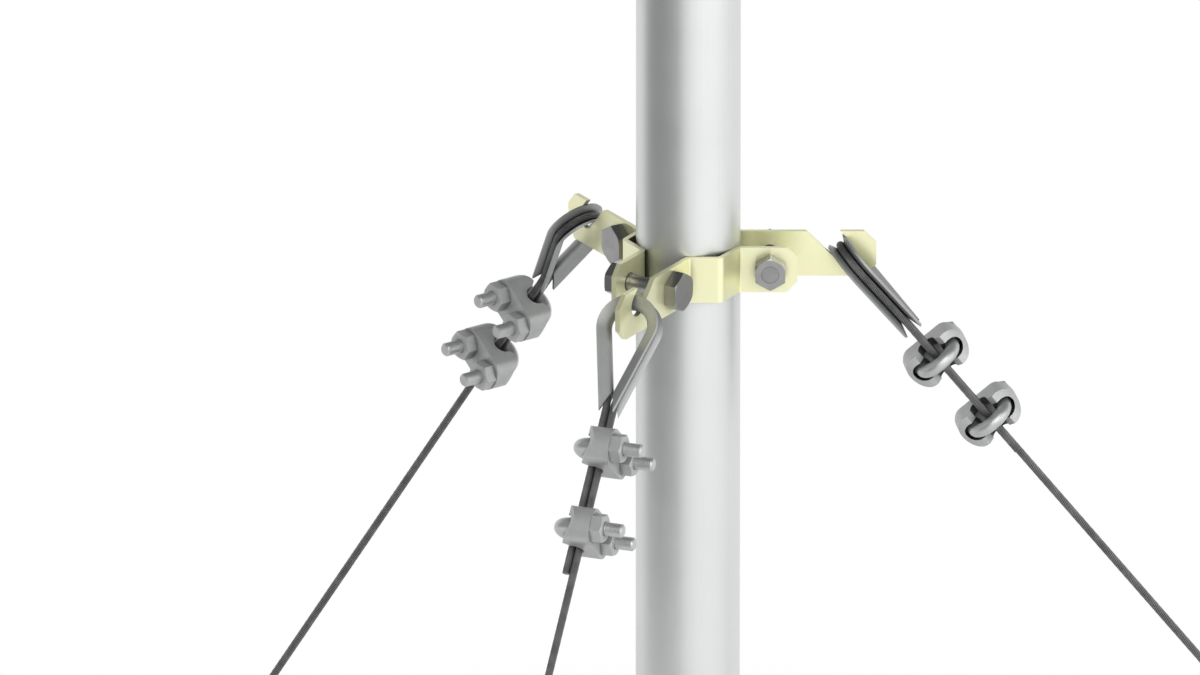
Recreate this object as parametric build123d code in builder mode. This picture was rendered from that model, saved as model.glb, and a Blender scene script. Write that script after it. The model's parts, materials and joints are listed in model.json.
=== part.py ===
from build123d import *

import os
from math import acos, atan2, cos, hypot, pi, radians, sin, tan

# Guy collar on a tubular mast section, with its three guy pendants.
# The origin is the centre of the tube's foot, +Z runs up the mast and +X points
# along the radial plane of the right-hand junction. All sizes are millimetres.

# Mast tube
tube_diameter = 60.0
tube_wall = 3.0
tube_edge_chamfer = 0.6
collar_level = 515.0
tube_above_collar = 175.0

# Collar straps, three alike, each with a long lug plate and a short ear
strap_height = 27.0
strap_thickness = 3.0
strap_bend_radius = 1.5
lug_side = 14.0
lug_beyond_tube = 78.0
lug_corner = 7.0
ear_side = 11.6
ear_beyond_tube = 32.6
ear_corner = 6.2

# Open hook slot in each lug plate
slot_width = 13.8
slot_lean = 45.0
seat_beyond_tube = 57.6
seat_depth = 9.95

# Clamp bolts that pull the straps on to the tube
bolt_beyond_tube = 17.0
bolt_thread_diameter = 10.0
bolt_shank_diameter = 9.0
bolt_hole_clearance = 0.5
bolt_head_width = 20.3
bolt_head_height = 7.4
bolt_nut_width = 17.0
bolt_nut_height = 8.8
bolt_end_chamfer = 0.8

# Guys: direction, rope and length between the two hook seats
guy_heading = 8.75
guy_dip = 51.25
rope_diameter = 4.4
guy_length = 640.0
rope_tail = 165.0
rope_knee_radius = 30.0

# Thimbles, bent from pressed channel, each with an open gap under the hook
thimble_rim_radius = 18.1
thimble_depth = 7.5
thimble_wall = 1.5
thimble_taper = 15.3
thimble_tip_reach = 53.0
thimble_tip_rake = 12.0
hook_gap = 3.2

# Wire-rope clips, two at each end of a guy
clip_first = 90.3
clip_spacing = 48.7
stud_diameter = 8.0
stud_spacing = 22.2
stud_reach = 30.0
stud_end_chamfer = 0.9
clip_nut_width = 15.0
clip_nut_height = 7.0
saddle_seat = 12.0
saddle_length = 22.0
saddle_width = 39.0
saddle_oval = 28.0
saddle_lip = 5.5
saddle_lip_width = 18.0
saddle_shoulder = -1.0
saddle_shoulder_width = 28.0
pocket_clearance = 2.0
groove_radius = 6.0

# Gaps between pieces that touch or fit
seat_gap = 0.3
thimble_play = 0.6
bed_gap = 0.3
thread_gap = 0.1
rope_gap = 0.1

# Names and azimuths of the three junctions
junctions = {"right": 0.0, "back": 120.0, "front": 240.0}

# Sizes that follow from the ones above
tube_radius = tube_diameter / 2
tube_length = collar_level + tube_above_collar
lug_reach = tube_radius + lug_beyond_tube
ear_reach = tube_radius + ear_beyond_tube
seat_reach = tube_radius + seat_beyond_tube
bolt_reach = tube_radius + bolt_beyond_tube
rope_radius = rope_diameter / 2
stud_radius = stud_diameter / 2
thimble_width = slot_width - 2 * thimble_play
thimble_bed_radius = thimble_rim_radius - thimble_depth
thimble_centre = slot_width / 2 - hook_gap + thimble_bed_radius
rope_side = rope_radius + rope_gap / 2
rope_crown_radius = thimble_bed_radius + thimble_wall + rope_gap + rope_radius
bevel_slope = tan(radians(30))


def junction_frame(azimuth):
    """Frame at collar level: x out from the mast, y round it, z up."""
    out = (cos(radians(azimuth)), sin(radians(azimuth)), 0)
    return Plane(origin=(0, 0, collar_level), x_dir=out, z_dir=(0, 0, 1))


def guy_frame(azimuth):
    """Frame at a hook seat: x down the guy, y along the horizontal, z away from the mast."""
    seat = junction_frame(azimuth).from_local_coords(
        (seat_reach, lug_side + strap_thickness / 2, strap_height / 2 - seat_depth)
    )
    heading = radians(azimuth + guy_heading)
    dip = radians(guy_dip)
    down = (cos(dip) * cos(heading), cos(dip) * sin(heading), -sin(dip))
    away = (sin(dip) * cos(heading), sin(dip) * sin(heading), cos(dip))
    return Plane(origin=seat, x_dir=down, z_dir=away)


def eye_frames(azimuth):
    """Frames of a guy's two eyes, each with x from the eye towards the middle of the guy."""
    head = guy_frame(azimuth)
    foot_seat = head.from_local_coords((guy_length, 0, 0))
    foot = Plane(origin=foot_seat, x_dir=-head.x_dir, z_dir=-head.z_dir)
    return {"head": head, "foot": foot}


def clip_frames(eye):
    """Frames of the two clips at an eye, x along the rope and y towards the nuts."""
    places = [clip_first, clip_first + clip_spacing]
    return [Plane(eye.from_local_coords((x, 0, 0)), eye.x_dir, eye.z_dir) for x in places]


def wall_corner(first, second):
    """Plan point where two walls cross, each given as its normal's angle and its distance."""
    a, p = radians(first[0]), first[1]
    b, q = radians(second[0]), second[1]
    across = sin(b - a)
    return ((p * sin(b) - q * sin(a)) / across, (q * cos(a) - p * cos(b)) / across)


def bevelled_hexagon(width, height, bore_radius):
    """Hexagon standing on the XY plane, with the corners of its top bevelled."""
    corner_radius = width / 2 / cos(pi / 6)
    flat_radius = 0.95 * width / 2
    bevel = (corner_radius - flat_radius) * bevel_slope
    with BuildPart() as hexagon:
        with BuildSketch():
            RegularPolygon(width / 2, 6, major_radius=False)
            if bore_radius:
                Circle(bore_radius, mode=Mode.SUBTRACT)
        extrude(amount=height)
        with BuildSketch(Plane.XZ):
            with BuildLine():
                Polyline(
                    (0, 0),
                    (corner_radius, 0),
                    (corner_radius, height - bevel),
                    (flat_radius, height),
                    (0, height),
                    close=True,
                )
            make_face()
        revolve(axis=Axis.Z, mode=Mode.INTERSECT)
    return hexagon.part


def save(piece, name):
    """Label a finished piece and write its STEP file."""
    piece.label = name
    export_step(piece, f"parts/{name}.step")


os.makedirs("parts", exist_ok=True)

# Mast tube
with BuildPart() as mast_tube:
    with BuildSketch():
        Circle(tube_radius)
        Circle(tube_radius - tube_wall, mode=Mode.SUBTRACT)
    extrude(amount=tube_length)
    chamfer(mast_tube.edges().filter_by(GeomType.CIRCLE), tube_edge_chamfer)
save(mast_tube.part, "mast_tube")

# Strap pattern, with its lug at azimuth 0 and its ear at azimuth 120
middle = strap_thickness / 2
lug_wall = (90, lug_side + middle)
first_flat = (30, tube_radius + middle)
second_flat = (90, tube_radius + middle)
ear_wall = (30, ear_side + middle)
ear_out = (cos(2 * pi / 3), sin(2 * pi / 3), 0)
ear_normal = (cos(pi / 6), sin(pi / 6), 0)
ear_plane = Plane((0, 0, 0), x_dir=ear_out, z_dir=ear_normal)

with BuildPart() as strap_pattern:
    with BuildSketch():
        with BuildLine() as strap_line:
            FilletPolyline(
                (lug_reach, lug_side + middle),
                wall_corner(lug_wall, first_flat),
                wall_corner(first_flat, second_flat),
                wall_corner(second_flat, ear_wall),
                ear_plane.from_local_coords((ear_reach, 0, ear_side + middle)),
                radius=strap_bend_radius + middle,
            )
        trace(line_width=strap_thickness)
    extrude(amount=strap_height / 2, both=True)
    lug_corners = strap_pattern.edges().filter_by(Axis.Y).sort_by(Axis.X)[-2:]
    chamfer(lug_corners, lug_corner)
    ear_edges = strap_pattern.edges().filter_by(Axis((0, 0, 0), ear_normal))
    ear_corners = ear_edges.sort_by(Axis((0, 0, 0), ear_out))[-2:]
    chamfer(ear_corners, ear_corner)
    # Hook slot and clamp bolt hole in the lug plate
    with BuildSketch(Plane.XZ.offset(-lug_side - middle)):
        with Locations((seat_reach - seat_depth, strap_height / 2)):
            SlotCenterToCenter(2 * seat_depth / cos(radians(slot_lean)), slot_width, rotation=-slot_lean)
        with Locations((bolt_reach, 0)):
            Circle(bolt_thread_diameter / 2 + bolt_hole_clearance)
    extrude(amount=strap_thickness, both=True, mode=Mode.SUBTRACT)
    # Clamp bolt hole in the ear
    with BuildSketch(ear_plane.offset(ear_side + middle)):
        with Locations((bolt_reach, 0)):
            Circle(bolt_thread_diameter / 2 + bolt_hole_clearance)
    extrude(amount=strap_thickness, both=True, mode=Mode.SUBTRACT)

# Clamp bolt pattern, lying along y through the lug plate and the ear
lug_face = Plane.XZ.offset(-lug_side - strap_thickness)
ear_face = Plane.XZ.offset(ear_side + strap_thickness)
head_hexagon = bevelled_hexagon(bolt_head_width, bolt_head_height, 0)
nut_bore = bolt_thread_diameter / 2 + thread_gap
nut_hexagon = bevelled_hexagon(bolt_nut_width, bolt_nut_height, nut_bore)
bolt_length = lug_side + ear_side + 2 * strap_thickness + bolt_nut_height
thread_length = bolt_nut_height + 2 * strap_thickness

with BuildPart() as bolt_pattern:
    with BuildSketch(lug_face):
        with Locations((bolt_reach, 0)):
            Circle(bolt_shank_diameter / 2)
    extrude(amount=bolt_length)
    with BuildSketch(lug_face.offset(bolt_length)):
        with Locations((bolt_reach, 0)):
            Circle(bolt_thread_diameter / 2)
    extrude(amount=-thread_length)
    chamfer(bolt_pattern.faces().sort_by(Axis.Y)[0].edges(), bolt_end_chamfer)
    with Locations(Location((bolt_reach, lug_side + strap_thickness, 0), (-90, 0, 0))):
        with Locations(Location((0, 0, 0), (0, 0, 30))):
            add(head_hexagon)

with BuildPart() as nut_pattern:
    with Locations(Location((bolt_reach, -ear_side - strap_thickness, 0), (90, 0, 0))):
        with Locations(Location((0, 0, 0), (0, 0, 30))):
            add(nut_hexagon)

# Thimble section: a V whose bend holds the rope
channel_side = (thimble_width - thimble_wall) / 2
bend_radius = rope_radius + bed_gap + thimble_wall / 2
bend_depth = thimble_depth - thimble_wall / 2 - bend_radius
flank_angle = acos(bend_radius / hypot(channel_side, bend_depth)) - atan2(bend_depth, channel_side)
channel_point = channel_side / tan(flank_angle)

# Thimble pattern in the eye's frame, one half and its mirror image
taper = radians(thimble_taper)
leg_direction = Vector(cos(taper), -sin(taper))
leg_normal = Vector(sin(taper), cos(taper))
eye_centre = Vector(thimble_centre, 0)
rim_start = eye_centre + leg_normal * thimble_rim_radius
leg_length = (thimble_tip_reach - thimble_rim_radius * sin(taper)) / cos(taper)
rim_end = rim_start + leg_direction * leg_length
bed_end = rim_end - leg_direction * thimble_tip_rake - leg_normal * thimble_depth
past_end = bed_end + leg_direction * 2 * thimble_tip_rake

with BuildPart() as thimble_pattern:
    with BuildLine() as rim_line:
        CenterArc(eye_centre, thimble_rim_radius, 180, -90 - thimble_taper)
        Line(rim_start, rim_end)
    with BuildSketch(Plane(rim_line.line @ 0, x_dir=(-1, 0, 0), z_dir=rim_line.line % 0)):
        with BuildLine():
            FilletPolyline(
                (0, -channel_side),
                (-channel_point, 0),
                (0, channel_side),
                radius=bend_radius,
            )
        trace(line_width=thimble_wall)
    sweep(path=rim_line.line)
    # Raked end, longest at the rims
    with BuildSketch():
        with BuildLine():
            Polyline(rim_end, bed_end, past_end, close=True)
        make_face()
    extrude(amount=thimble_width, both=True, mode=Mode.SUBTRACT)
    mirror(about=Plane.XZ)


def mirrored(point):
    """The same point on the other leg of an eye."""
    return Vector(point.X, -point.Y)


# Rope pattern, one piece from tail to tail round both thimbles
knee = Vector(
    thimble_centre + (rope_crown_radius - rope_side * cos(taper)) / sin(taper),
    rope_side,
)
crown_start = eye_centre + leg_normal * rope_crown_radius


def at_foot(point):
    """The matching point at the foot eye, on the same side of the guy."""
    return Vector(guy_length - point.X, point.Y)


with BuildPart() as rope_pattern:
    with BuildLine() as rope_line:
        FilletPolyline(
            (rope_tail, -rope_side),
            mirrored(knee),
            mirrored(crown_start),
            radius=rope_knee_radius,
        )
        CenterArc(
            eye_centre,
            rope_crown_radius,
            270 + thimble_taper,
            -180 - 2 * thimble_taper,
        )
        FilletPolyline(
            crown_start,
            knee,
            at_foot(knee),
            at_foot(crown_start),
            radius=rope_knee_radius,
        )
        CenterArc(
            at_foot(eye_centre),
            rope_crown_radius,
            90 + thimble_taper,
            -180 - 2 * thimble_taper,
        )
        FilletPolyline(
            at_foot(mirrored(crown_start)),
            at_foot(mirrored(knee)),
            (guy_length - rope_tail, -rope_side),
            radius=rope_knee_radius,
        )
    with BuildSketch(Plane(rope_line.line @ 0, z_dir=rope_line.line % 0)):
        Circle(rope_radius)
    sweep(path=rope_line.line)

# Clip patterns, x along the rope, y towards the nuts, z across the two studs
half_spacing = stud_spacing / 2
bow_crown = -(2 * rope_side + rope_radius - rope_side + seat_gap)
bow_centre = bow_crown - stud_radius + half_spacing
groove_floor = rope_side + rope_radius + seat_gap
pocket_radius = stud_radius + pocket_clearance

with BuildPart() as u_bolt_pattern:
    with BuildLine(Plane.YZ) as bow_line:
        Line((stud_reach, -half_spacing), (bow_centre, -half_spacing))
        CenterArc((bow_centre, 0), half_spacing, -90, -180)
        Line((bow_centre, half_spacing), (stud_reach, half_spacing))
    with BuildSketch(Plane.XZ.offset(-stud_reach)):
        with Locations((0, -half_spacing)):
            Circle(stud_radius)
    sweep(path=bow_line.line)
    stud_ends = u_bolt_pattern.faces().sort_by(Axis.Y)[-2:]
    chamfer(stud_ends.edges(), stud_end_chamfer)

with BuildPart() as saddle_pattern:
    with BuildSketch(Plane.YZ):
        with BuildLine():
            Polyline(
                (saddle_seat, -saddle_width / 2),
                (saddle_seat, saddle_width / 2),
                (-saddle_shoulder, saddle_width / 2),
                (-saddle_shoulder, saddle_shoulder_width / 2),
                (-saddle_lip, saddle_lip_width / 2),
                (-saddle_lip, -saddle_lip_width / 2),
                (-saddle_shoulder, -saddle_shoulder_width / 2),
                (-saddle_shoulder, -saddle_width / 2),
                close=True,
            )
        make_face()
    extrude(amount=saddle_length / 2, both=True)
    # Oval outline seen along the studs
    with BuildSketch(Plane.XZ):
        Ellipse(saddle_oval / 2, saddle_width / 2)
    extrude(amount=saddle_width, both=True, mode=Mode.INTERSECT)
    # Rope groove
    with BuildSketch(Plane.YZ):
        with Locations((groove_floor - groove_radius, 0)):
            Circle(groove_radius)
            with Locations((-saddle_width / 2, 0)):
                Rectangle(saddle_width, 2 * groove_radius)
    extrude(amount=saddle_length, both=True, mode=Mode.SUBTRACT)
    # Pocket for the bow of the U-bolt
    with BuildSketch(Plane.XZ.offset(-groove_floor)):
        SlotCenterToCenter(stud_spacing, 2 * pocket_radius, rotation=90)
    extrude(amount=saddle_width, mode=Mode.SUBTRACT)
    # Stud holes
    with BuildSketch(Plane.XZ.offset(-saddle_seat)):
        with Locations((0, -half_spacing), (0, half_spacing)):
            Circle(stud_radius + seat_gap)
    extrude(amount=saddle_seat, mode=Mode.SUBTRACT)

clip_nut_hexagon = bevelled_hexagon(clip_nut_width, clip_nut_height, stud_radius + thread_gap)
with BuildPart() as clip_nuts_pattern:
    for z in (-half_spacing, half_spacing):
        with Locations(Location((0, saddle_seat, z), (-90, 0, 0))):
            add(clip_nut_hexagon)


def place(pattern, frames, name):
    """Copy a pattern to each frame and save the copies as one node."""
    with BuildPart() as piece:
        for frame in frames:
            with Locations(frame.location):
                add(pattern.part)
    save(piece.part, name)


# Collar: a strap, a clamp bolt and a nut at each junction
for side, azimuth in junctions.items():
    collar_frame = [junction_frame(azimuth)]
    place(strap_pattern, collar_frame, f"collar_strap_{side}")
    place(bolt_pattern, collar_frame, f"clamp_bolt_{side}")
    place(nut_pattern, collar_frame, f"clamp_nut_{side}")

# Guys: a rope with a thimble and two clips at each end
for side, azimuth in junctions.items():
    place(rope_pattern, [guy_frame(azimuth)], f"guy_rope_{side}")
    for end, eye in eye_frames(azimuth).items():
        place(thimble_pattern, [eye], f"{end}_thimble_{side}")
        place(saddle_pattern, clip_frames(eye), f"{end}_clip_saddles_{side}")
        place(u_bolt_pattern, clip_frames(eye), f"{end}_clip_u_bolts_{side}")
        place(clip_nuts_pattern, clip_frames(eye), f"{end}_clip_nuts_{side}")
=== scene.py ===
import json
from math import copysign, cos, dist, pi, radians, sin, tan

import bmesh
import bpy
import numpy as np
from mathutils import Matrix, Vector


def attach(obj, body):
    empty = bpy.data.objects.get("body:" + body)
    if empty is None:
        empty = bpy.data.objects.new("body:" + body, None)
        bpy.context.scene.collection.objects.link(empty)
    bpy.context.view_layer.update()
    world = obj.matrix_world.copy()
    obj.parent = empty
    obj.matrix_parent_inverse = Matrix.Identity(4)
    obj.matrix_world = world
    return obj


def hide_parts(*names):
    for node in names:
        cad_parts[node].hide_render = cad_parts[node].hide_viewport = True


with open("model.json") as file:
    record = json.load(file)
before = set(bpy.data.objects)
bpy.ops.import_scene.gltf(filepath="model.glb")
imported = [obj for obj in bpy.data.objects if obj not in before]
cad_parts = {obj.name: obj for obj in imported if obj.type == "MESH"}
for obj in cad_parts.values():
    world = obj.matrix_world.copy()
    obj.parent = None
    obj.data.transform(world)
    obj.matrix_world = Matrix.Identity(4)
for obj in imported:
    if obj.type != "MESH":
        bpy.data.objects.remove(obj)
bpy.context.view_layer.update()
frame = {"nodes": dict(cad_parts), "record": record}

# Guy collar on a tubular mast section: looks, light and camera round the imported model.
# Blender works in metres; the sizes below repeat the model's own, in millimetres.
MM = 0.001

# Guys
collar_level = 515.0
seat_reach = 87.6
seat_side = 15.5
seat_height = 3.55
guy_heading = 8.75
guy_dip = 51.25
guy_length = 640.0
rope_radius = 2.2
rope_side = 2.25
rope_tail = 165.0
rope_knee_radius = 30.0
rope_crown_radius = 14.4
eye_centre = 14.3
thimble_taper = 15.3
junctions = {"right": 0.0, "back": 120.0, "front": 240.0}

# Rope strands
strand_count = 12
strand_fill = 0.98
core_overlap = 0.1
rope_lay = 60.0
steps_per_lay = 24
strand_sides = 8
core_sides = 8
core_step = 4.0
rope_sharp_angle = 50

# U-bolts
clip_first = 90.3
clip_spacing = 48.7
stud_radius = 4.0
stud_spacing = 22.2
stud_reach = 30.0
stud_chamfer = 0.9
bow_crown = -7.05
thread_start = 18.0
thread_pitch = 1.25
thread_depth = 0.18
steps_per_pitch = 6
stud_sides = 24
bow_steps = 28
thread_sharp_angle = 35

# Clip saddles
saddle_seat = 12.0
saddle_length = 22.0
saddle_width = 39.0
saddle_lip = -5.5
lip_width = 14.0
lip_drop = 7.5
slope_reach = 1.5
slope_steps = 24
groove_radius = 5.9
groove_floor = 4.75
notch_width = 19.0
notch_depth = 4.0
pocket_width = 11.8
pocket_floor = 9.0
stud_hole_radius = 4.3
saddle_bevel = 0.5
bevel_from_angle = 40

# Clamp bolts
strap_thickness = 3.0
lug_side = 14.0
ear_side = 11.6
bolt_reach = 47.0
bolt_thread_radius = 5.0
bolt_shank_radius = 4.5
bolt_head_width = 20.3
bolt_head_height = 7.4
bolt_nut_width = 17.0
bolt_nut_height = 8.8
bolt_end_bevel = 0.12
thread_past_nut = 6.0
thread_step = 0.5
nut_bore = 5.08
hexagon_slope = 20.0
hexagon_flat = 1.03

# Carved solids: sides of a circle, what cutters reach past a face, and the angle of a crisp edge
round_sides = 72
spare = 1.0
carved_sharp_angle = 12

# Direction out of the plane that a rope or a U-bolt bends in, and axes that a prism stands along
UP = np.array([0.0, 0.0, 1.0])
X, Y = 0, 1


def junction_axes(azimuth):
    """Axes of a collar junction: x out from the mast, y round it, z up."""
    turn = radians(azimuth)
    out = Vector((cos(turn), sin(turn), 0))
    side = Vector((-sin(turn), cos(turn), 0))
    return Vector((0, 0, collar_level)), out, side, Vector((0, 0, 1))


def guy_axes(azimuth):
    """Hook seat of a guy, its direction, the horizontal across it, and away from the mast."""
    collar, out, side, up = junction_axes(azimuth)
    seat = collar + seat_reach * out + seat_side * side + seat_height * up
    heading = radians(azimuth + guy_heading)
    dip = radians(guy_dip)
    down = Vector((cos(dip) * cos(heading), cos(dip) * sin(heading), -sin(dip)))
    across = Vector((-sin(heading), cos(heading), 0))
    return seat, down, across, down.cross(across)


def eye_axes(azimuth):
    """Axes at a guy's two eyes, each with x from the eye towards the middle of the guy."""
    seat, down, across, away = guy_axes(azimuth)
    foot = seat + guy_length * down
    return {"head": (seat, down, across, away), "foot": (foot, -down, across, -away)}


def clip_axes(axes):
    """The axes of an eye, moved along the guy to each of its two clips."""
    origin, onward, across, away = axes
    reaches = (clip_first, clip_first + clip_spacing)
    return [(origin + reach * onward, onward, across, away) for reach in reaches]


def to_world(points, axes):
    """Millimetre points in the given axes, as metres in the shared frame."""
    origin, x_axis, y_axis, z_axis = (np.array(v) for v in axes)
    return (origin + points @ np.array([x_axis, y_axis, z_axis])) * MM


def left_of(angle):
    """Direction to the left of a heading, in the plane."""
    return np.array([-sin(angle), cos(angle)])


def step(point, angle, curvature, run):
    """Point and heading after a run along a straight line or an arc in the plane."""
    onward = angle + curvature * run
    if curvature:
        return point + (left_of(angle) - left_of(onward)) / curvature, onward
    return point + run * np.array([cos(angle), sin(angle)]), onward


def arc(turn, radius):
    """Run and curvature of an arc; a turn to the right is negative."""
    return abs(turn) * radius, copysign(1 / radius, turn)


def walk(start, heading, moves):
    """Where each move of a flat line starts and how it bends, and the whole line's length."""
    point, angle, length = np.array(start, float), heading, 0.0
    parts = []
    for run, curvature in moves:
        parts.append((length, point, angle, curvature))
        point, angle = step(point, angle, curvature, run)
        length += run
    return parts, length


def along(parts, lengths):
    """Points of a walked line at the given lengths, and the directions to its left, in space."""
    starts = [part[0] for part in parts]
    points, lefts = [], []
    for length in lengths:
        begin, point, angle, curvature = parts[np.searchsorted(starts, length, "right") - 1]
        there, heading = step(point, angle, curvature, length - begin)
        points.append((*there, 0.0))
        lefts.append((*left_of(heading), 0.0))
    return np.array(points), np.array(lefts)


def full_turn(sides):
    """Evenly spaced angles round a circle."""
    return np.arange(sides) * 2 * pi / sides


def rings_round(centres, first, second, turns, radii):
    """Rings of points round centres, in the plane of two directions."""
    across = (radii * np.cos(turns))[..., None] * first[..., None, :]
    rise = (radii * np.sin(turns))[..., None] * second[..., None, :]
    return centres[:, None, :] + across + rise


def tube(rings):
    """Points and faces of a closed tube through rings of equal size."""
    rows, sides, _ = rings.shape
    faces = []
    for low in range(0, (rows - 1) * sides, sides):
        high = low + sides
        for j in range(sides):
            k = (j + 1) % sides
            faces.append((low + j, low + k, high + k, high + j))
    last = (rows - 1) * sides
    faces.append(tuple(range(sides - 1, -1, -1)))
    faces.append(tuple(range(last, last + sides)))
    return rings.reshape(-1, 3), faces


def make_piece(name, shapes, places, material, sharp_angle, node):
    """Copies of some shapes at each place, as one object in place of a node of the model."""
    points, faces = [], []
    for axes in places:
        for shape_points, shape_faces in shapes:
            base = len(points)
            points += to_world(shape_points, axes).tolist()
            faces += [tuple(base + corner for corner in face) for face in shape_faces]
    mesh = bpy.data.meshes.new(name)
    mesh.from_pydata(points, [], faces)
    mesh.materials.append(material)
    mesh.shade_smooth()
    mesh.set_sharp_from_angle(angle=radians(sharp_angle))
    piece = bpy.data.objects.new(name, mesh)
    bpy.context.scene.collection.objects.link(piece)
    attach(piece, "root")
    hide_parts(node)


def rope_walk():
    """The rope's line, from one tail round both eyes to the other tail."""
    taper = radians(thimble_taper)
    knee_x = eye_centre + (rope_crown_radius - rope_side * cos(taper)) / sin(taper)
    crown = (eye_centre + sin(taper) * rope_crown_radius, cos(taper) * rope_crown_radius)
    trim = rope_knee_radius * tan(taper / 2)
    leg = (dist(crown, (knee_x, rope_side)) - trim, 0)
    knee = arc(taper, rope_knee_radius)
    eye = [knee, leg, arc(-pi - 2 * taper, rope_crown_radius), leg, knee]
    tail = (rope_tail - knee_x - trim, 0)
    middle = (guy_length - 2 * (knee_x + trim), 0)
    return walk((rope_tail, -rope_side), pi, [tail, *eye, middle, *eye, tail])


def rope_shapes():
    """Strands of a rope, laid round its core."""
    parts, length = rope_walk()
    strand_radius = rope_radius / (1 + 1 / sin(pi / strand_count)) * strand_fill
    helix_radius = rope_radius - strand_radius
    stretch = (1 + (2 * pi * helix_radius / rope_lay) ** 2) ** 0.5
    lengths = np.linspace(0, length, int(length / rope_lay * steps_per_lay))
    centres, lefts = along(parts, lengths)
    turns = full_turn(strand_sides)
    shapes = []
    for start in full_turn(strand_count):
        phase = (lengths * 2 * pi / rope_lay + start)[:, None]
        outward = np.cos(phase) * lefts + np.sin(phase) * UP
        onward = -np.sin(phase) * lefts + np.cos(phase) * UP
        strand = centres + helix_radius * outward
        shapes.append(tube(rings_round(strand, outward, stretch * onward, turns, strand_radius)))
    centres, lefts = along(parts, np.linspace(0, length, int(length / core_step)))
    core_radius = helix_radius - strand_radius * (1 - core_overlap)
    core = rings_round(centres, lefts, UP, full_turn(core_sides), core_radius)
    return [*shapes, tube(core)]


def u_bolt_shape():
    """U-bolt in the axes of a clip, with rolled threads where the studs leave the nuts."""
    half = stud_spacing / 2
    bow_centre = bow_crown - stud_radius + half
    leg = stud_reach - bow_centre
    thread = stud_reach - thread_start
    parts, total = walk((stud_reach, -half), pi, [(leg, 0), arc(-pi, half), (leg, 0)])
    thread_rows = np.arange(0, thread, thread_pitch / steps_per_pitch)
    end_rows = np.array([0, stud_chamfer, *thread_rows[thread_rows > stud_chamfer]])
    bow_rows = np.linspace(leg, total - leg, bow_steps)
    lengths = np.unique(np.round([*end_rows, *bow_rows, *(total - end_rows)], 4))
    centres, lefts = along(parts, lengths)
    turns = full_turn(stud_sides)
    from_end = np.minimum(lengths, total - lengths)[:, None]
    wave = np.abs(((from_end / thread_pitch + turns / (2 * pi)) % 1) * 2 - 1)
    cut = np.where(from_end < thread, thread_depth * wave, 0)
    radii = np.minimum(stud_radius - cut, stud_radius - stud_chamfer + from_end)
    rings = rings_round(centres, lefts, UP, turns, radii)
    # The line runs in x and y, which are the clip's own y and z
    return tube(rings[:, :, [2, 0, 1]])


def solid(shape):
    """Closed mesh object with its normals turned outward."""
    points, faces = shape
    mesh = bpy.data.meshes.new("solid")
    mesh.from_pydata(points.tolist(), [], faces)
    edited = bmesh.new()
    edited.from_mesh(mesh)
    bmesh.ops.recalc_face_normals(edited, faces=edited.faces)
    edited.to_mesh(mesh)
    edited.free()
    made = bpy.data.objects.new("solid", mesh)
    bpy.context.scene.collection.objects.link(made)
    return made


def prism(outline, axis, low, high):
    """Solid from an outline in the two axes left over, in their order, between two levels."""
    rings = [np.insert(outline, axis, level, axis=1) for level in (low, high)]
    return solid(tube(np.array(rings)))


def lathe(profile, centre):
    """Solid turned about a line along y, from (level, radius) pairs."""
    turns = full_turn(round_sides)
    rings = [
        np.column_stack([
            centre + radius * np.cos(turns),
            np.full(round_sides, level),
            radius * np.sin(turns),
        ])
        for level, radius in profile
    ]
    return solid(tube(np.array(rings)))


def disc(radius, first, second):
    """Outline of a circle."""
    turns = full_turn(round_sides)
    return np.column_stack([first + radius * np.cos(turns), second + radius * np.sin(turns)])


def half_ellipse(half_width, reach, height):
    """Half an ellipse, whose middle is at the reach."""
    turns = np.linspace(-pi / 2, pi / 2, round_sides // 2)
    return np.column_stack([half_width * np.sin(turns), reach + height * np.cos(turns)])


def oval(half_width, reach, height):
    """Outline of two half ellipses, whose middles are at the reach on both sides."""
    end = half_ellipse(half_width, reach, height)
    return np.concatenate([end, -end])


def carve(body, cuts=(), keep=None, bevel=0.0):
    """Cut solids from a body, keep what it shares with another, and bevel its edges."""
    tools = [(tool, "DIFFERENCE") for tool in cuts]
    if keep:
        tools.append((keep, "INTERSECT"))
    for tool, operation in tools:
        cut = body.modifiers.new("cut", "BOOLEAN")
        cut.operation = operation
        cut.solver = "EXACT"
        cut.object = tool
    if bevel:
        edge = body.modifiers.new("edge", "BEVEL")
        edge.width = bevel
        edge.segments = 1
        edge.limit_method = "ANGLE"
        edge.angle_limit = radians(bevel_from_angle)
    ready = body.evaluated_get(bpy.context.evaluated_depsgraph_get())
    mesh = bpy.data.meshes.new_from_object(ready)
    for used in (body, *(tool for tool, _ in tools)):
        bpy.data.objects.remove(used)
    points = np.array([tuple(vertex.co) for vertex in mesh.vertices])
    return points, [tuple(face.vertices) for face in mesh.polygons]


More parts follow.
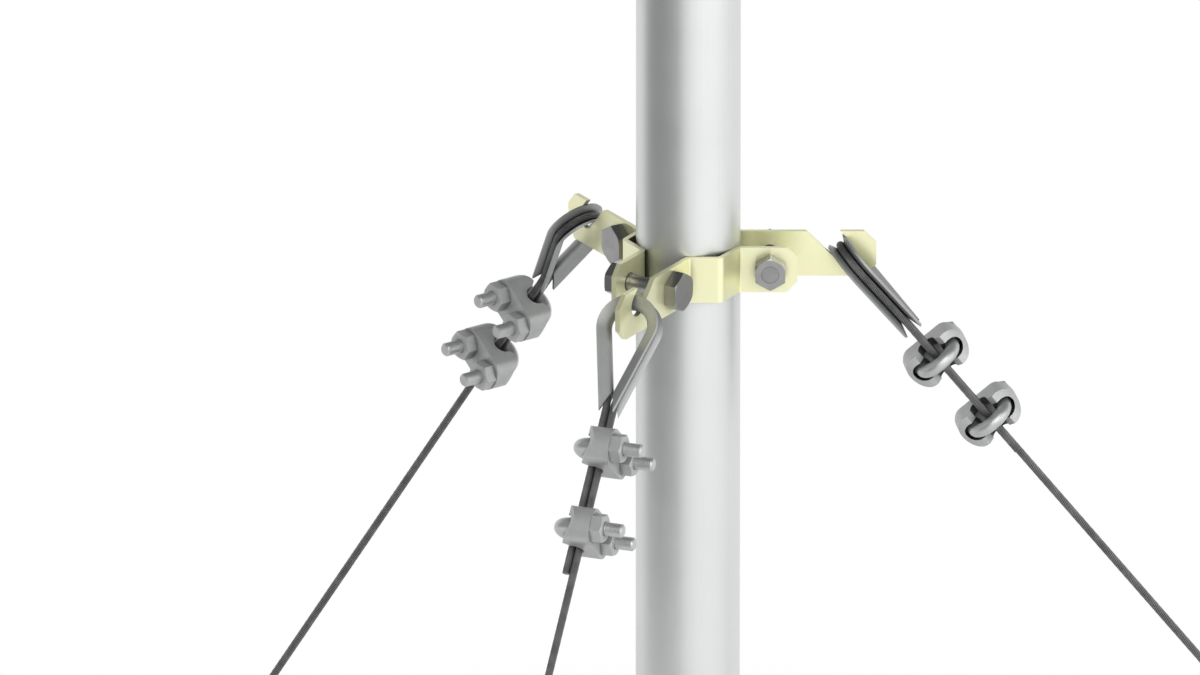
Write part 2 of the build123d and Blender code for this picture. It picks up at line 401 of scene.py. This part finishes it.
def saddle_shape():
    """Forged saddle: an oval block sloped off at its ends, hollow for the bow and the rope."""
    past = saddle_width
    end = stud_spacing / 2
    body_line = oval(saddle_length / 2, end, saddle_width / 2 - end)
    body = prism(body_line, Y, saddle_lip, saddle_seat)

    run = (saddle_width - lip_width) / 2
    share = np.linspace(0, slope_reach, slope_steps)
    slope = np.column_stack([saddle_lip + lip_drop * share**2, lip_width / 2 + run * share])
    slope = np.concatenate([slope, [(saddle_lip - spare, slope[-1, 1])]])
    slopes = [prism(slope * (1, side), X, -past, past) for side in (1, -1)]

    groove_line = half_ellipse(groove_radius, groove_floor - groove_radius, groove_radius)[:, ::-1]
    groove_line = [(-past, -groove_radius), *groove_line, (-past, groove_radius)]
    groove = prism(groove_line, X, -past, past)

    low, high = saddle_lip - spare, saddle_lip + notch_depth
    wide, narrow = notch_width / 2 + spare, notch_width / 2 - notch_depth
    notch_line = [(low, -wide), (high, -narrow), (high, narrow), (low, wide)]
    notch = prism(notch_line, X, -past, past)

    pocket_radius = pocket_width / 2
    pocket = prism(oval(pocket_radius, end, pocket_radius), Y, -past, groove_floor)
    wells = [prism(disc(pocket_radius, 0, z), Y, 0, pocket_floor) for z in (-end, end)]
    holes = [prism(disc(stud_hole_radius, 0, z), Y, 0, past) for z in (-end, end)]
    return carve(body, [*slopes, groove, notch, pocket, *wells, *holes], bevel=saddle_bevel)


def hexagon(width, inner, outer):
    """Hexagon about the bolt's line, corners up, and the cone that bevels its outer face."""
    corner = width / 2 / cos(pi / 6)
    flat = hexagon_flat * width / 2
    rise = tan(radians(hexagon_slope))
    way = 1 if outer > inner else -1
    turns = full_turn(6)
    outline = np.column_stack([bolt_reach + corner * np.sin(turns), corner * np.cos(turns)])
    cone = [
        (inner - way * spare, corner),
        (outer - way * (corner - flat) * rise, corner),
        (outer + way * spare, flat - spare / rise),
    ]
    return prism(outline, Y, inner, outer), lathe(cone, bolt_reach)


def clamp_shapes():
    """Clamp bolt and its nut, in the axes of a junction."""
    head_face = lug_side + strap_thickness
    nut_face = -ear_side - strap_thickness
    end = nut_face - bolt_nut_height
    shank_end = nut_face + thread_past_nut
    profile = [
        (head_face + spare, bolt_shank_radius),
        (shank_end, bolt_shank_radius),
        (shank_end - thread_step, bolt_thread_radius),
        (end + bolt_end_bevel, bolt_thread_radius),
        (end, bolt_thread_radius - bolt_end_bevel),
    ]
    head, cone = hexagon(bolt_head_width, head_face, head_face + bolt_head_height)
    bolt = [carve(head, keep=cone), carve(lathe(profile, bolt_reach))]
    nut, cone = hexagon(bolt_nut_width, nut_face, end)
    bore = prism(disc(nut_bore, bolt_reach, 0), Y, end - spare, nut_face + spare)
    return bolt, [carve(nut, [bore], keep=cone)]


# Finishes: the tint of zinc, the usual range of a noise, and how closed a hollow is where painted
# shade starts and where it is full
zinc = (0.975, 1.0, 0.985)
noise_low = 0.3
noise_high = 0.7
painted_shade_starts = 0.7
painted_shade_full = 0.25
painted_shade_samples = 4


def grey(level, tint=(1, 1, 1)):
    """Grey of a level, or one with a tint."""
    return (level * tint[0], level * tint[1], level * tint[2], 1)


class Nodes:
    """The node tree of a material or a world, under construction."""

    def __init__(self, owner):
        owner.use_nodes = True
        self.tree = owner.node_tree

    def put(self, socket, value):
        """Link an input to an output, or set its value."""
        if isinstance(value, bpy.types.NodeSocket):
            self.tree.links.new(value, socket)
        else:
            socket.default_value = value

    def add(self, kind, inputs=None, **settings):
        """Add a node with its settings, and fill its inputs by name or number."""
        made = self.tree.nodes.new(kind)
        for name, value in settings.items():
            setattr(made, name, value)
        for socket, value in (inputs or {}).items():
            self.put(made.inputs[socket], value)
        return made

    def math(self, operation, first, second):
        """Calculate with two values."""
        return self.add("ShaderNodeMath", {0: first, 1: second}, operation=operation).outputs[0]

    def span(self, value, low, high, start=0.0, end=1.0, **settings):
        """Map a value from low..high to start..end, clamped."""
        inputs = {"Value": value, "From Min": low, "From Max": high, "To Min": start, "To Max": end}
        return self.add("ShaderNodeMapRange", inputs, **settings).outputs["Result"]


class Finish(Nodes):
    """A material under construction: one Principled shader and the nodes that feed it."""

    def __init__(self, name, metallic):
        self.material = bpy.data.materials.new(name)
        super().__init__(self.material)
        self.shader = self.tree.nodes["Principled BSDF"].inputs
        self.put(self.shader["Metallic"], metallic)
        self.place = self.add("ShaderNodeTexCoord").outputs["Object"]

    def noise(self, scale, detail, stretch=(1, 1, 1)):
        """Noise with the given number of features a metre, less along stretched axes."""
        mapping = self.add("ShaderNodeMapping", {"Vector": self.place, "Scale": stretch})
        inputs = {"Vector": mapping.outputs[0], "Scale": scale, "Detail": detail}
        return self.add("ShaderNodeTexNoise", inputs).outputs["Fac"]

    def spangle(self, scale):
        """Flat-toned crystal patches, as on galvanised metal."""
        cells = self.add("ShaderNodeTexVoronoi", {"Vector": self.place, "Scale": scale})
        return self.add("ShaderNodeSeparateColor", {"Color": cells.outputs["Color"]}).outputs[0]

    def mix(self, share, first, second):
        """Blend two colours, which this node takes at its inputs 6 and 7."""
        inputs = {0: share, 6: first, 7: second}
        return self.add("ShaderNodeMix", inputs, data_type="RGBA").outputs[2]

    def drift(self, value, first, second, low=noise_low, high=noise_high):
        """Go from one colour to another as a value goes from low to high."""
        return self.mix(self.span(value, low, high), first, second)

    def cover(self, base, colour, value, share, low=0.0, high=1.0):
        """Lay a colour over the base, up to a share, as a value goes from low to high."""
        return self.mix(self.span(value, low, high, 0.0, share), base, colour)

    def painted_hollow_shade(self, reach):
        """Mask of painted shade: one deep in recesses narrower than the reach, zero on open faces."""
        sky = self.add("ShaderNodeAmbientOcclusion", {"Distance": reach * MM}, samples=painted_shade_samples)
        return self.span(sky.outputs["AO"], painted_shade_starts, painted_shade_full)

    def colour(self, base, hollow=None, reach=None):
        """Set the colour, with painted shade of another colour in recesses narrower than the reach.
        """
        if hollow:
            base = self.mix(self.painted_hollow_shade(reach), base, hollow)
        self.put(self.shader["Base Color"], base)

    def rough(self, value, least, most):
        """Set the roughness, which goes with a noise."""
        self.put(self.shader["Roughness"], self.span(value, noise_low, noise_high, least, most))

    def relief(self, *heights):
        """Bump from (height, depth in mm) pairs, each on top of the last."""
        normal = None
        for height, depth in heights:
            bump = self.add("ShaderNodeBump", {"Height": height, "Distance": depth * MM})
            if normal:
                self.put(bump.inputs["Normal"], normal)
            normal = bump.outputs[0]
        self.put(self.shader["Normal"], normal)


def tube_finish():
    """Satin drawn aluminium with faint patches and streaks along the tube."""
    made = Finish("satin_tube", metallic=0.95)
    drawn = made.noise(scale=600, detail=4, stretch=(1, 1, 0.012))
    clouds = made.noise(scale=22, detail=4)
    base = made.drift(clouds, grey(0.745, zinc), grey(0.775, zinc))
    base = made.cover(base, grey(0.84, zinc), made.spangle(scale=160), share=0.05)
    base = made.cover(base, grey(0.45, zinc), drawn, share=0.08, low=0.55, high=0.75)
    # Painted shade, a darker grey, on the tube close to the strap and clamps
    made.colour(base, hollow=grey(0.25, zinc), reach=22)
    made.rough(clouds, least=0.40, most=0.45)
    made.relief((drawn, 0.006), (made.noise(scale=900, detail=2), 0.004))
    return made.material


def strap_finish():
    """Smooth pale yellow passivated zinc."""
    lemon = (0.97, 0.95, 0.60, 1)
    lime = (0.95, 0.96, 0.65, 1)
    painted_shade_olive = (0.36, 0.35, 0.19, 1)
    made = Finish("yellow_passivated_strap", metallic=0.7)
    clouds = made.noise(scale=40, detail=2)
    base = made.drift(clouds, lemon, lime, low=0.35, high=0.65)
    # Painted shade in dark olive in corners and close to the other parts
    made.colour(base, hollow=painted_shade_olive, reach=16)
    made.rough(clouds, least=0.32, most=0.36)
    made.relief((made.noise(scale=600, detail=2), 0.001))
    return made.material


def clamp_bolt_finish(name, level):
    """Dark steel with faint stains round a grey level."""
    contrast = 0.06
    made = Finish(name, metallic=0.95)
    stain = made.noise(scale=120, detail=3)
    light, dark = grey(level * (1 + contrast)), grey(level * (1 - contrast))
    made.colour(made.drift(stain, light, dark, low=0.35))
    made.rough(stain, least=0.27, most=0.33)
    made.relief((made.noise(scale=2500, detail=2), 0.002))
    return made.material


def rope_finish():
    """Weathered steel wire, with painted shade between the strands."""
    made = Finish("steel_rope", metallic=0.8)
    grime = made.noise(scale=120, detail=4)
    base = made.drift(grime, grey(0.22), grey(0.16), low=0.35, high=0.65)
    made.colour(base, hollow=grey(0.03), reach=3)
    made.rough(grime, least=0.40, most=0.50)
    made.relief((made.noise(scale=1500, detail=2), 0.004))
    return made.material


def thimble_finish():
    """Dull zinc with a fine spangle, with painted shade inside the channel."""
    made = Finish("zinc_thimble", metallic=0.6)
    clouds = made.noise(scale=150, detail=4)
    base = made.drift(clouds, grey(0.38, zinc), grey(0.42, zinc))
    base = made.cover(base, grey(0.52, zinc), made.spangle(scale=420), share=0.08)
    made.colour(base, hollow=grey(0.05), reach=9)
    made.rough(clouds, least=0.42, most=0.48)
    made.relief((clouds, 0.02), (made.noise(scale=1800, detail=2), 0.004))
    return made.material


def bow_finish():
    """Bright zinc of the U-bolts."""
    made = Finish("bright_zinc", metallic=0.7)
    clouds = made.noise(scale=130, detail=3)
    made.colour(made.drift(clouds, grey(0.54, zinc), grey(0.60, zinc)))
    made.rough(clouds, least=0.33, most=0.39)
    return made.material


def clip_finish():
    """Galvanised casting skin of the saddles and nuts."""
    made = Finish("galvanised_clip", metallic=0.35)
    skin = made.noise(scale=700, detail=5)
    clouds = made.noise(scale=130, detail=3)
    base = made.drift(clouds, grey(0.50, zinc), grey(0.56, zinc))
    base = made.cover(base, grey(0.43, zinc), skin, share=0.15, low=0.55, high=0.8)
    # Painted shade, near black, in the pockets, the rope gap and other recesses
    made.colour(base, hollow=grey(0.02), reach=8)
    made.rough(skin, least=0.38, most=0.46)
    made.relief((skin, 0.012), (clouds, 0.03))
    return made.material


finishes = {
    "tube": tube_finish(),
    "strap": strap_finish(),
    # Bolt and nut are one dark steel; the bolt's lower level is painted shade
    "clamp_bolt": clamp_bolt_finish("dark_bolt_painted_shade", level=0.31),
    "clamp_nut": clamp_bolt_finish("dark_nut", level=0.35),
    "rope": rope_finish(),
    "thimble": thimble_finish(),
    "clip": clip_finish(),
    "bow": bow_finish(),
}
for part in frame["record"]["subparts"]:
    node = frame["nodes"][part["node"]]
    for place in node.material_slots:
        place.material = finishes[part["material_slot"]]

# Pieces that stand in for plain ones of the model
bolt, nut = clamp_shapes()
rope = rope_shapes()
u_bolt = u_bolt_shape()
saddle = saddle_shape()
for side, azimuth in junctions.items():
    here = [junction_axes(azimuth)]
    make_piece(
        f"hex_bolt_{side}", bolt, here, finishes["clamp_bolt"], carved_sharp_angle,
        node=f"clamp_bolt_{side}",
    )
    make_piece(
        f"hex_nut_{side}", nut, here, finishes["clamp_nut"], carved_sharp_angle,
        node=f"clamp_nut_{side}",
    )
    make_piece(
        f"stranded_rope_{side}", rope, [guy_axes(azimuth)], finishes["rope"], rope_sharp_angle,
        node=f"guy_rope_{side}",
    )
    for end, axes in eye_axes(azimuth).items():
        clips = clip_axes(axes)
        make_piece(
            f"threaded_u_bolts_{end}_{side}", [u_bolt], clips, finishes["bow"], thread_sharp_angle,
            node=f"{end}_clip_u_bolts_{side}",
        )
        make_piece(
            f"forged_saddles_{end}_{side}", [saddle], clips, finishes["clip"], carved_sharp_angle,
            node=f"{end}_clip_saddles_{side}",
        )

# Camera, looking along +Y and down at the collar
view_width = 688.5
camera_lens = 850.0
sensor = 36.0
camera_down = 19.53
target = Vector((-50.5, 0, 468.8)) * MM
distance = view_width * MM * camera_lens / sensor
camera_data = bpy.data.cameras.new("camera")
camera_data.lens = camera_lens
camera_data.sensor_width = sensor
camera_data.clip_start = 1.0
camera_data.clip_end = 500.0
camera = bpy.data.objects.new("camera", camera_data)
tilt = radians(camera_down)
camera.location = target + distance * Vector((0, -cos(tilt), sin(tilt)))
camera.rotation_euler = (pi / 2 - tilt, 0, 0)
bpy.context.scene.collection.objects.link(camera)
bpy.context.scene.camera = camera
bpy.context.scene.view_settings.view_transform = "Standard"


def sheet(name, corners, material):
    """Flat object with four corners."""
    mesh = bpy.data.meshes.new(name)
    mesh.from_pydata(corners, [], [(0, 1, 2, 3)])
    mesh.materials.append(material)
    made = bpy.data.objects.new(name, mesh)
    bpy.context.scene.collection.objects.link(made)
    return made


# Floor, in metres: white to the camera and in reflections, its soft shadow fading outward
floor_half = 120.0
floor_colour = grey(0.9)
glow_near = 0.62
glow_far = 1.0
near_radius = 0.1
far_radius = 0.8
paint = bpy.data.materials.new("white_floor")
nodes = Nodes(paint)
nodes.tree.nodes.remove(nodes.tree.nodes["Principled BSDF"])
rays = nodes.add("ShaderNodeLightPath").outputs
seen = nodes.math("MAXIMUM", rays["Is Camera Ray"], rays["Is Glossy Ray"])
seen = nodes.math("MAXIMUM", seen, rays["Is Transmission Ray"])
place = nodes.add("ShaderNodeTexCoord").outputs["Object"]
radius = nodes.add("ShaderNodeVectorMath", {0: place}, operation="LENGTH").outputs["Value"]
fade = nodes.span(
    radius, near_radius, far_radius, glow_near, glow_far, interpolation_type="SMOOTHSTEP"
)
share = nodes.math("MULTIPLY", seen, fade)
matt = nodes.add("ShaderNodeBsdfDiffuse", {"Color": floor_colour}).outputs[0]
glow = nodes.add("ShaderNodeEmission").outputs[0]
blend = nodes.add("ShaderNodeMixShader", {0: share, 1: matt, 2: glow}).outputs[0]
nodes.put(nodes.tree.nodes["Material Output"].inputs["Surface"], blend)
corners = [(-1, -1, 0), (1, -1, 0), (1, 1, 0), (-1, 1, 0)]
floor = sheet("floor", [Vector(corner) * floor_half for corner in corners], paint)

# World, white at the horizon and darker overhead
horizon_height = 0.03
overhead_height = 0.85
horizon_level = 1.0
overhead_level = 0.12
world = bpy.data.worlds.new("studio")
bpy.context.scene.world = world
nodes = Nodes(world)
direction = nodes.add("ShaderNodeTexCoord").outputs["Generated"]
height = nodes.add("ShaderNodeSeparateXYZ", {0: direction}).outputs["Z"]
level = nodes.span(
    height,
    horizon_height,
    overhead_height,
    horizon_level,
    overhead_level,
    interpolation_type="SMOOTHSTEP",
)
nodes.put(nodes.tree.nodes["Background"].inputs["Color"], level)

# Lamps, in metres: square and soft, aimed at the collar
lamp_aim = Vector((0, 0, 0.45))


def lamp(name, azimuth, elevation, distance, size, power):
    """Lamp in a direction from the aim; azimuth 0 is towards the camera."""
    data = bpy.data.lights.new(name, "AREA")
    data.size = size
    data.energy = power
    made = bpy.data.objects.new(name, data)
    turn, lift = radians(azimuth), radians(elevation)
    away = Vector((sin(turn) * cos(lift), -cos(turn) * cos(lift), sin(lift)))
    made.location = lamp_aim + distance * away
    made.rotation_mode = "QUATERNION"
    made.rotation_quaternion = away.to_track_quat("Z", "Y")
    bpy.context.scene.collection.objects.link(made)


lamp("key", azimuth=50, elevation=10, distance=3.2, size=4.2, power=46)
lamp("front", azimuth=8, elevation=35, distance=3.2, size=2.4, power=34)

# Grey card at the left, in metres, which shows in reflections only
card_azimuth = radians(-58)
card_distance = 0.75
card_half = 0.8
card_height = 1.8
card_grey = bpy.data.materials.new("grey_card")
nodes = Nodes(card_grey)
nodes.put(nodes.tree.nodes["Principled BSDF"].inputs["Base Color"], grey(0.4))
foot = [(-card_half, 0, 0), (card_half, 0, 0)]
top = [(card_half, 0, card_height), (-card_half, 0, card_height)]
card = sheet("card", [*foot, *top], card_grey)
card.location = Vector((sin(card_azimuth), -cos(card_azimuth), 0)) * card_distance
card.rotation_euler = (0, 0, card_azimuth)
card.visible_camera = False
card.visible_diffuse = False
card.visible_shadow = False
